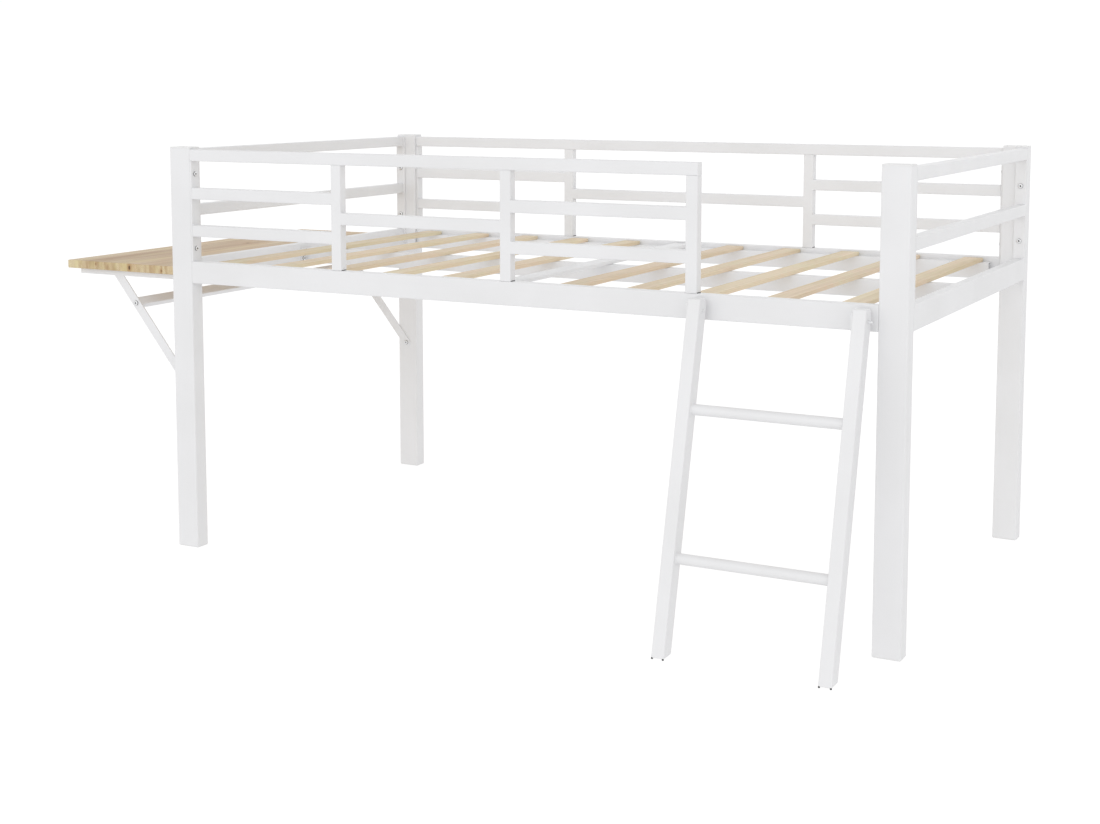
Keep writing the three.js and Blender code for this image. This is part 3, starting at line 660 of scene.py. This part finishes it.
def guards():
    start = LEFT + PLATE
    first, last = start + FIRST_BAY, GUARD_END - UPRIGHT
    second = last - LAST_BAY - UPRIGHT
    front = Shape()
    bays = [(start, first, PAIR), (first + UPRIGHT, second, MIDDLE), (second + UPRIGHT, last, PAIR)]
    guard(front, 0, (LEFT, GUARD_END), [first, second, last], bays, [LEFT])
    front.finish("steel_guard_front", WHITE, ["guard_front"], [SHADOW_PAD_LOOK])
    first = LENGTH / 2 - BACK_BAY_HALF - UPRIGHT
    second = LENGTH / 2 + BACK_BAY_HALF
    back = Shape()
    bays = [(start, first, PAIR), (first + UPRIGHT, second, MIDDLE),
            (second + UPRIGHT, RIGHT - PLATE, PAIR)]
    guard(back, BACK_SIDE, (LEFT, RIGHT), [first, second], bays, [LEFT, RIGHT - PLATE])
    back.finish("steel_guard_back", WHITE, ["guard_back"], [SHADOW_PAD_LOOK])


def stile_rear(z):
    return -LADDER_GAP - (LADDER_TOP - z) * math.tan(LEAN)


def stile_front(z):
    return stile_rear(z) - STILE_DEEP / math.cos(LEAN)


def stile_middle(z):
    return (stile_rear(z) + stile_front(z)) / 2


LADDER_BOLT_Z = LADDER_TOP - LADDER_BOLT_DROP
LADDER_BOLT_Y = stile_middle(LADDER_BOLT_Z)


def beams():
    for side, y0, ledge_y in (("front", 0, DEEP), ("back", BACK_SIDE, BACK_SIDE - DEEP)):
        shape = Shape()
        shape.bar("x", LEFT, RIGHT, y0, y0 + DEEP, BEAM_UNDER, BEAM_TOP, ease=SEAM)
        shape.tube("x", LEFT + LEDGE_INSET, RIGHT - LEDGE_INSET, ledge_y, ledge_y + DEEP,
                   BEAM_UNDER, LEDGE_TOP, TUBE_WALL)
        if side == "front":
            ladder_tabs(shape)
        shape.finish(f"steel_beam_{side}", WHITE, [f"beam_{side}"])


def ladder_tabs(shape):
    """Two tabs on the front beam, one beside each stile, 1 mm deep in the beam's face."""
    reach = LADDER_BOLT_Y - 16
    outline = rounded([(1, BEAM_UNDER, 0), (1, LEDGE_TOP, 0),
                       (reach, LEDGE_TOP, 6), (reach, BEAM_UNDER, 14)])
    for x in STILE_LEFT:
        shape.prism(outline, "x", x - TAB, x, BRACKET_ROUND)
        for edge, way in ((x - TAB, -1), (x, 1)):
            shape.fillet((edge, 0, BEAM_UNDER + 3), (edge, 0, LEDGE_TOP - 3), (way, 0, 0), (0, -1, 0),
                         SMALL_BEAD)


def rounded(points, steps=8):
    """Points of an outline with its corners rounded by the third number of each."""
    made = []
    for i, (u, v, r) in enumerate(points):
        here = Vector((u, v))
        if r <= 0:
            made.append(here)
            continue
        a = (Vector(points[i - 1][:2]) - here).normalized()
        b = (Vector(points[(i + 1) % len(points)][:2]) - here).normalized()
        half = a.angle(b) / 2
        middle = here + (a + b).normalized() * r / math.sin(half)
        start, end = here + a * r / math.tan(half), here + b * r / math.tan(half)
        turn = (start - middle).angle_signed(end - middle)
        for k in range(steps + 1):
            angle = -turn * k / steps
            d = start - middle
            made.append(middle + Vector((d.x * math.cos(angle) - d.y * math.sin(angle),
                                         d.x * math.sin(angle) + d.y * math.cos(angle))))
    return [(p.x, p.y) for p in made]


def middle_beam():
    shape = Shape()
    y0, y1 = MID_Y - DEEP / 2, MID_Y + DEEP / 2
    shape.bar("x", DEEP, LENGTH - DEEP, y0, y1, BEAM_UNDER, LEDGE_TOP, ease=0.2)
    for x, way in ((DEEP, 1), (LENGTH - DEEP - EAR, -1)):
        shape.bar("z", BEAM_UNDER, LEDGE_TOP, x, x + EAR, y0 - EAR_WIDE, y0 + 1, 0.8, 0.6)
        inner = x + EAR if way > 0 else x
        shape.fillet((inner, y0, BEAM_UNDER + 2), (inner, y0, LEDGE_TOP - 2), (way, 0, 0), (0, -1, 0),
                     SMALL_BEAD)
    shape.finish("steel_beam_middle", WHITE, ["beam_middle"])


def slats():
    """Ten slats, each with its own tints from a formula that spreads them, and a steel member."""
    y0, y1 = DEEP + SLAT_GAP, BACK_SIDE - SLAT_GAP
    z0, z1 = LEDGE_TOP, LEDGE_TOP + SLAT_THICK
    for side, way in (("left", -1), ("right", 1)):
        for i in range(5):
            middle = LENGTH / 2 + way * (SLAT_FIRST + i * SLAT_PITCH)
            shape = Shape()
            tone = 0.137 * (i + 1) + (0.53 if way > 0 else 0.0)
            turn = GOLDEN_TURN * (i + 1) + (0.3 if way > 0 else 0.0)
            blush, light = 0.35 + 0.6 * (turn % 1), 0.3 + 0.5 * (2.3 * turn % 1)
            shape.wood = (tone, blush, light)
            x0, x1 = middle - SLAT_WIDE / 2, middle + SLAT_WIDE / 2
            shape.bar("y", y0, y1, x0, x1, z0, z1, SLAT_ROUND, 0.8)
            shape.finish(f"pine_slat_{side}_{i + 1}", SLAT_LOOK, [f"slat_{side}_{i + 1}"])
    x0 = (LENGTH - CROSS_WIDE) / 2
    shape = Shape()
    shape.tube("y", y0, y1, x0, x0 + CROSS_WIDE, z0, z1, TUBE_WALL)
    shape.finish("steel_cross_member", WHITE, ["cross_member"])


def ladder():
    shape = Shape()
    outline = rounded([(stile_front(STUD), STUD, 0), (stile_rear(STUD), STUD, 0),
                       (stile_rear(LADDER_TOP), LADDER_TOP, 16),
                       (stile_front(LADDER_TOP), LADDER_TOP, 3)])
    for x in STILE_LEFT:
        shape.prism(outline, "x", x, x + STILE_WIDE, STILE_ROUND, 4)
    left, right = STILE_LEFT[0] + STILE_WIDE, STILE_LEFT[1]
    for z in RUNGS:
        y = stile_middle(z)
        ends = (left - 0.5, right + 0.5)
        shape.loft([[along("x", x, *p) for p in circle(y, z, RUNG, 32)] for x in ends])
        shape.round_weld("x", left, 1, y, z, RUNG)
        shape.round_weld("x", right, -1, y, z, RUNG)
    shape.finish("steel_ladder", WHITE, ["ladder"])
    for side, x, past in (("left", STILE_LEFT[0], 3), ("right", STILE_LEFT[1], 10)):
        one_bolt(f"ladder_bolt_{side}", "x", x - TAB, -1, LADDER_BOLT_Y, LADDER_BOLT_Z,
                 TAB + STILE_WIDE + past, threads=past)
        shoe(side, x)


def shoe(side, x):
    """The rubber plug in the stile's lower end, on its four studs."""
    shape = Shape()
    across = SHOE_GAP / math.cos(LEAN)
    low, high = STUD + SHOE_UP, STUD + SHOE_TOP
    outline = [(stile_front(low) + across, low), (stile_rear(low) - across, low),
               (stile_rear(high) - across, high), (stile_front(high) + across, high)]
    shape.prism(outline, "x", x + SHOE_GAP, x + STILE_WIDE - SHOE_GAP, 0.3, 2)
    stations = [(0, 1.7), (0.25, 1.95), (0.7, STUD_RADIUS), (STUD + 1, STUD_RADIUS)]
    for y, inset in ((stile_front(0) + 2.2, 2.2), (stile_rear(0) - 9, 9)):
        for cx in (x + inset, x + STILE_WIDE - inset):
            shape.loft([[along("z", z, *p) for p in circle(cx, y, r, 20)] for z, r in stations])
    shape.finish(f"rubber_shoe_{side}", RUBBER, [f"ladder_shoe_{side}"])


# Where each stave starts, how pink it is and how pale
STAVES = [(-392, 0.0, 0.95), (-344, 0.6, 0.45), (-295, 0.9, 0.3), (-258, 0.8, 0.45), (-207, 0.6, 0.8),
          (-148, 0.5, 0.7), (-105, 0.6, 0.5), (-58, 0.3, 0.9)]


def desk():
    """The board, whose staves have fine seams between them and round outer edges."""
    shape = Shape()
    last = len(STAVES) - 1
    ends = [x for x, _, _ in STAVES[1:]] + [-DESK_GAP]
    for i, ((x0, blush, light), x1) in enumerate(zip(STAVES, ends)):
        shape.wood = ((0.31 * (i + 1) * 1.618) % 1, blush, light)
        left = DESK_ROUND if i == 0 else STAVE_ROUND
        right = DESK_ROUND if i == last else STAVE_ROUND
        radii = (left, right, right, left)
        small = [max(r - 0.1, 0.1) for r in radii]
        stations = [(DESK_FRONT, 1.1), (DESK_FRONT + 0.35, 0.4), (DESK_FRONT + 1.2, 0),
                    (DESK_BACK - 1.2, 0), (DESK_BACK - 0.35, 0.4), (DESK_BACK, 1.1)]
        rings = []
        for y, inset in stations:
            box = (x0, x1, DESK_UNDER + inset, DESK_TOP - inset)
            rings.append([along("y", y, *p) for p in section(*box, radii if inset == 0 else small, 4)])
        shape.loft(rings)
    shape.finish("pine_desk_board", BOARD_LOOK, ["desk_top"])
    brackets()
    crossbar()


def brackets():
    """The flat brace with its round lower end, the angle arm and its end plate. `foot` and
    `tops` are the brace's corners, and it ends short of the board."""
    end = -DESK_GAP - DESK_DEEP + ARM_SHORT
    under = DESK_UNDER - ARM_HIGH
    half = BRACE_WIDE / 2
    low = BRACE_BOLT - SLOPE * half
    foot = [low - SIDE * half, low + SIDE * half]
    tops = [p + SLOPE * (DESK_UNDER - BRACE_SHORT - p.y) / SLOPE.y for p in foot]
    brace = rounded([(*foot[0], half - 0.01), (*foot[1], half - 0.01), (*tops[1], 0), (*tops[0], 0)], 12)
    for side, face, way in (("front", FRONT, 1), ("back", BACK, -1)):
        shape = Shape()
        inner, far = face + way * ARM, face + way * ARM_WIDE
        thin = sorted((face + way * SUNK, face + way * (ARM - SUNK)))
        wide = sorted((face + way * SUNK, far))
        angle = [(face, DESK_UNDER), (face, under), (inner, under), (inner, DESK_UNDER - FLANGE),
                 (far, DESK_UNDER - FLANGE), (far, DESK_UNDER)]
        shape.prism(brace, "y", *thin, BRACKET_ROUND)
        shape.prism(angle, "x", end, -2 * SUNK, BRACKET_ROUND)
        shape.bar("y", *wide, -ARM, 0, under + SUNK, DESK_UNDER - SUNK, 0.8)
        for p, turn in zip(foot, (-1, 1)):
            at = p + SLOPE * (under - p.y) / SLOPE.y
            shape.fillet((at.x, thin[0] + 0.6, under), (at.x, thin[1] - 0.6, under),
                         (turn, 0, 0), (-SLOPE.x, 0, -SLOPE.y), FINE_BEAD)
        shape.finish(f"steel_bracket_{side}", WHITE, [f"desk_bracket_{side}"])
        arm_bolt(side, face + way * ARM_WIDE * 0.62, DESK_UNDER - ARM_HIGH / 2 - FLANGE / 2)


def arm_bolt(side, y, z):
    """The bolt through the arm's end plate, which no CAD node stands for."""
    shape = Shape()
    shape.bolt("x", -ARM, -1, y, z, 6, head=ARM_HEAD)
    shape.finish(f"steel_arm_bolt_{side}", ZINC, more=[BOLT_SHADE_LOOK])


def crossbar():
    shape = Shape()
    y0, y1 = FRONT + ARM + CROSSBAR_GAP, BACK - ARM - CROSSBAR_GAP
    s, t = CROSSBAR_HIGH / 2, CROSSBAR_DEEP / 2
    flat = section(-s, s, -t, t, TUBE_ROUND)
    points = [CROSSBAR + SLOPE * s + SIDE * t for s, t in flat]
    shape.loft([[along("y", y, p.x, p.y) for p in points] for y in (y0, y1)])
    shape.finish("steel_crossbar", WHITE, ["desk_crossbar"])


def one_bolt(node, *sizes, threads=0):
    shape = Shape()
    shape.bolt(*sizes, threads=threads)
    shape.finish(f"steel_{node}", ZINC, [node], [BOLT_SHADE_LOOK])


def bolts():
    """The bolts of the ends, guards, middle beam, braces and crossbar."""
    stack = PLATE + TUBE_WALL + BOLT_PAST
    for side, x in (("left", PLATE_WIDE / 2), ("right", LENGTH - PLATE_WIDE / 2)):
        for high, z in zip(("high", "low"), END_BOLTS):
            for end, seat, way in (("front", FRONT + PLATE, 1), ("back", BACK - PLATE, -1)):
                one_bolt(f"end_bolt_{side}_{end}_{high}", "y", seat, way, x, z, stack)
    for high, z in zip(("high", "low"), GUARD_BOLTS):
        places = [("front", LEFT + PLATE, 1, PLATE_WIDE / 2),
                  ("back_left", LEFT + PLATE, 1, BACK_SIDE + PLATE_WIDE / 2),
                  ("back_right", RIGHT - PLATE, -1, BACK_SIDE + PLATE_WIDE / 2)]
        for where, seat, way, y in places:
            one_bolt(f"guard_bolt_{where}_{high}", "x", seat, way, y, z, stack)
    ear_y, ear_z = MID_Y - DEEP / 2 - EAR_WIDE / 2, BEAM_UNDER + EAR_BOLT
    ear = EAR + TUBE_WALL + BOLT_PAST
    for side, seat, way in (("left", DEEP + EAR, 1), ("right", LENGTH - DEEP - EAR, -1)):
        one_bolt(f"middle_bolt_{side}", "x", seat, way, ear_y, ear_z, ear)
    foot = ARM + TUBE_WALL + BOLT_PAST
    bar = ARM + CROSSBAR_GAP + 3 + BOLT_PAST
    for side, seat, way in (("front", FRONT, 1), ("back", BACK, -1)):
        one_bolt(f"brace_bolt_{side}", "y", seat + way * ARM, way, *BRACE_BOLT, foot)
        one_bolt(f"crossbar_bolt_{side}", "y", seat, -way, *CROSSBAR, bar)


def floor():
    """A plain pale floor that glows a little, so that hardly a shadow shows on it."""
    bpy.ops.mesh.primitive_plane_add(size=60, location=(0, 0, -0.0005))
    plane = bpy.context.object
    plane.name = "floor"
    n = Look("pale_floor")
    n.set(color=gray(FLOOR_BOUNCE), rough=0.9, specular=0.0)
    n.shader.inputs["Emission Color"].default_value = (1, 1, 1, 1)
    seen = n.make("ShaderNodeLightPath").outputs["Is Camera Ray"]
    n.link(n.spread(seen, 0, 1, FLOOR_GLOW, FLOOR_SEEN), n.shader.inputs["Emission Strength"])
    plane.data.materials.append(n.material)


def area_light(name, location, target, size, power):
    data = bpy.data.lights.new(name, "AREA")
    data.shape = "RECTANGLE"
    data.size, data.size_y = size
    data.energy = power
    light = bpy.data.objects.new(name, data)
    light.location = location
    light.rotation_euler = (Vector(target) - Vector(location)).to_track_quat("-Z", "Y").to_euler()
    light.visible_camera = False
    bpy.context.scene.collection.objects.link(light)


def studio():
    """White surroundings, brightest in front, and two large soft boxes. The camera sees them
    as plain white."""
    world = bpy.data.worlds.new("studio")
    bpy.context.scene.world = world
    world.use_nodes = True
    n = Nodes(world.node_tree)
    split = n.make("ShaderNodeSeparateXYZ")
    n.link(n.make("ShaderNodeTexCoord").outputs["Generated"], split.inputs[0])
    x, y = split.outputs[:2]
    level = ALL_LIGHT
    for way, strength in ((y, -FRONT_LIGHT), (y, BACK_LIGHT), (x, RIGHT_LIGHT)):
        level = n.math("ADD", n.math("MAXIMUM", n.math("MULTIPLY", way, strength), 0), level)
    seen = n.make("ShaderNodeLightPath").outputs["Is Camera Ray"]
    background = world.node_tree.nodes["Background"]
    background.inputs["Color"].default_value = (1, 1, 1, 1)
    n.link(n.math("MAXIMUM", level, n.math("MULTIPLY", seen, WHITE_SEEN)), background.inputs["Strength"])
    area_light("front", (0.6, -4.2, 1.8), (0.1, 0, 0.6), (3.0, 2.0), FRONT_BOX)
    area_light("right", (3.3, -0.9, 1.0), (1.1, 0, 0.6), (2.4, 1.8), RIGHT_BOX)
    bpy.context.scene.view_settings.view_transform = "Standard"


def camera():
    """The photograph's viewing angle: 28 degrees round to the right, 6 degrees down."""
    data = bpy.data.cameras.new("camera")
    data.sensor_width = SENSOR
    data.lens = SENSOR * FOCAL / PHOTO_WIDE
    data.shift_y = (PRINCIPAL - PHOTO_MIDDLE) / PHOTO_WIDE
    data.clip_end = 200
    eye = bpy.data.objects.new("camera", data)
    eye.location = place(*EYE)
    eye.rotation_euler = (math.radians(90 - EYE_DOWN), 0, math.radians(EYE_TURN))
    bpy.context.scene.collection.objects.link(eye)
    bpy.context.scene.camera = eye


posts()
end_frames()
guards()
beams()
middle_beam()
slats()
ladder()
desk()
bolts()
floor()
studio()
camera()
